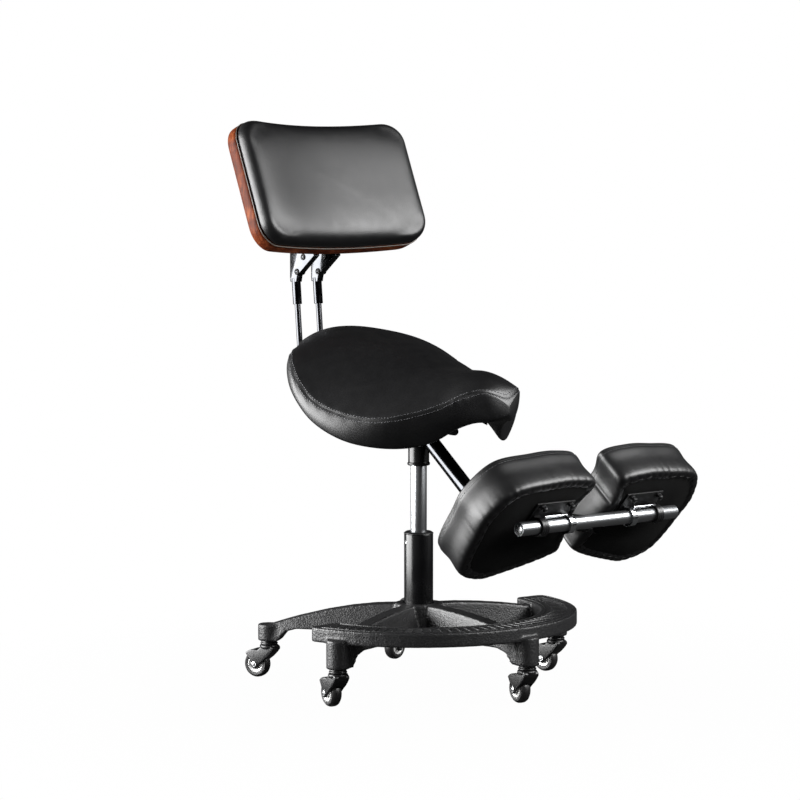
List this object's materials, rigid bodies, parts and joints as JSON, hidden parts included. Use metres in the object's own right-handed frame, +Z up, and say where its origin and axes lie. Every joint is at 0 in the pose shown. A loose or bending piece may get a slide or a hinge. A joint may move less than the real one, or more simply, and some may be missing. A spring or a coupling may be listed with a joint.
{
  "type": "saddle stool",
  "caption": "Height-adjustable saddle stool with a padded wooden backrest, tilting knee pads on a crossbar, a gas lift and a star base with a half foot ring and swivel casters.",
  "frame": {"origin": "on the floor under the middle of the whole object's bounding box", "axes": "+Z up; the sitter faces -Y, where the knee pads are; the sitter's left is +X; +X is the shortest side and +Z the longest"},
  "size_m": [0.545, 0.7861, 0.9677],
  "materials": {
    "base_black": "black glass-filled nylon with a spark-eroded texture",
    "column_black": "smooth semi-gloss black paint",
    "chrome": "bright chrome plate",
    "steel": "zinc-plated steel",
    "black_steel": "black painted pressed steel",
    "black_plastic": "moulded black nylon",
    "tyre": "black rubber tread",
    "wheel_core": "pale grey moulded wheel core",
    "leather": "black grained PU leather over foam",
    "board": "plywood with a black backing cloth",
    "rosewood": "reddish-brown lacquered moulded plywood"
  },
  "bodies": {
    "base": {"star_base": "base_black", "column_tube": "column_black", "guide_bush": "black_plastic", "thrust_bearing": "steel", "stem_front": "steel", "stem_left": "steel", "stem_rear_left": "steel", "stem_rear_right": "steel", "stem_right": "steel"},
    "lift_rod": {"piston_rod": "steel", "rod_clip": "steel"},
    "seat": {"gas_cylinder": "chrome", "cylinder_gland": "black_plastic", "seat_housing": "black_steel", "seat_plate": "black_steel", "seat_pan": "board", "seat_cushion": "leather", "lever_pin": "steel", "knee_arm": "chrome", "crossbar": "chrome", "back_rod_left": "chrome", "back_rod_right": "chrome", "back_bracket_left": "chrome", "back_bracket_right": "chrome", "back_shell": "rosewood", "back_cushion": "leather"},
    "lever": {"release_lever": "black_steel"},
    "valve": {"valve_pin": "steel"},
    "knee_pad_left": {"pad_board_left": "board", "pad_cushion_left": "leather", "pad_bracket_left": "black_steel", "pad_strap_left": "chrome", "pad_collar_left": "black_plastic"},
    "knee_pad_right": {"pad_board_right": "board", "pad_cushion_right": "leather", "pad_bracket_right": "black_steel", "pad_strap_right": "chrome", "pad_collar_right": "black_plastic"},
    "caster_front": {"fork_front": "black_plastic", "axle_front": "steel"},
    "wheel_front": {"tyre_front": "tyre", "wheel_core_front": "wheel_core"},
    "caster_left": {"fork_left": "black_plastic", "axle_left": "steel"},
    "wheel_left": {"tyre_left": "tyre", "wheel_core_left": "wheel_core"},
    "caster_rear_left": {"fork_rear_left": "black_plastic", "axle_rear_left": "steel"},
    "wheel_rear_left": {"tyre_rear_left": "tyre", "wheel_core_rear_left": "wheel_core"},
    "caster_rear_right": {"fork_rear_right": "black_plastic", "axle_rear_right": "steel"},
    "wheel_rear_right": {"tyre_rear_right": "tyre", "wheel_core_rear_right": "wheel_core"},
    "caster_right": {"fork_right": "black_plastic", "axle_right": "steel"},
    "wheel_right": {"tyre_right": "tyre", "wheel_core_right": "wheel_core"}
  },
  "joints": [
    {"name": "seat_swivel", "type": "hinge", "parent": "base", "child": "lift_rod", "pos_m": [0, 0.0667, 0], "axis": [0, 0, 1], "continuous": true},
    {"name": "seat_lift", "type": "slide", "parent": "lift_rod", "child": "seat", "axis": [0, 0, 1], "range_m": [-0.08, 0.025]},
    {"name": "lever_lift", "type": "hinge", "parent": "seat", "child": "lever", "pos_m": [0.012, 0.0667, 0.4418], "axis": [0, -1, 0], "range_deg": [0, 8], "stiffness_Nm_per_rad": 0.6, "springref_deg": -5.73},
    {"name": "valve_press", "type": "slide", "parent": "seat", "child": "valve", "axis": [0, 0, -1], "range_m": [0, 0.00125]},
    {"name": "knee_pad_left_tilt", "type": "hinge", "parent": "seat", "child": "knee_pad_left", "pos_m": [0, -0.3593, 0.321], "axis": [1, 0, 0], "range_deg": [-20, 20]},
    {"name": "knee_pad_right_tilt", "type": "hinge", "parent": "seat", "child": "knee_pad_right", "pos_m": [0, -0.3593, 0.321], "axis": [1, 0, 0], "range_deg": [-20, 20]},
    {"name": "caster_front_swivel", "type": "hinge", "parent": "base", "child": "caster_front", "pos_m": [0, -0.1993, 0], "axis": [0, 0, 1], "continuous": true},
    {"name": "wheel_front_spin", "type": "hinge", "parent": "caster_front", "child": "wheel_front", "pos_m": [0.00517, -0.17689, 0.0234], "axis": [-0.9744, 0.225, 0], "continuous": true},
    {"name": "caster_left_swivel", "type": "hinge", "parent": "base", "child": "caster_left", "pos_m": [0.25298, -0.0155, 0], "axis": [0, 0, 1], "continuous": true},
    {"name": "wheel_left_spin", "type": "hinge", "parent": "caster_left", "child": "wheel_left", "pos_m": [0.25018, 0.00733, 0.0234], "axis": [-0.9925, -0.1219, 0], "continuous": true},
    {"name": "caster_rear_left_swivel", "type": "hinge", "parent": "base", "child": "caster_rear_left", "pos_m": [0.15635, 0.2819, 0], "axis": [0, 0, 1], "continuous": true},
    {"name": "wheel_rear_left_spin", "type": "hinge", "parent": "caster_rear_left", "child": "wheel_rear_left", "pos_m": [0.1337, 0.2779, 0.0234], "axis": [0.1736, -0.9848, 0], "continuous": true},
    {"name": "caster_rear_right_swivel", "type": "hinge", "parent": "base", "child": "caster_rear_right", "pos_m": [-0.15635, 0.2819, 0], "axis": [0, 0, 1], "continuous": true},
    {"name": "wheel_rear_right_spin", "type": "hinge", "parent": "caster_rear_right", "child": "wheel_rear_right", "pos_m": [-0.16497, 0.30322, 0.0234], "axis": [-0.9272, -0.3746, 0], "continuous": true},
    {"name": "caster_right_swivel", "type": "hinge", "parent": "base", "child": "caster_right", "pos_m": [-0.25298, -0.0155, 0], "axis": [0, 0, 1], "continuous": true},
    {"name": "wheel_right_spin", "type": "hinge", "parent": "caster_right", "child": "wheel_right", "pos_m": [-0.2482, 0.007, 0.0234], "axis": [-0.9781, 0.2079, 0], "continuous": true}
  ],
  "couplings": [
    {"joint": "valve_press", "follows": "lever_lift", "m_per_rad": 0.0086}
  ]
}
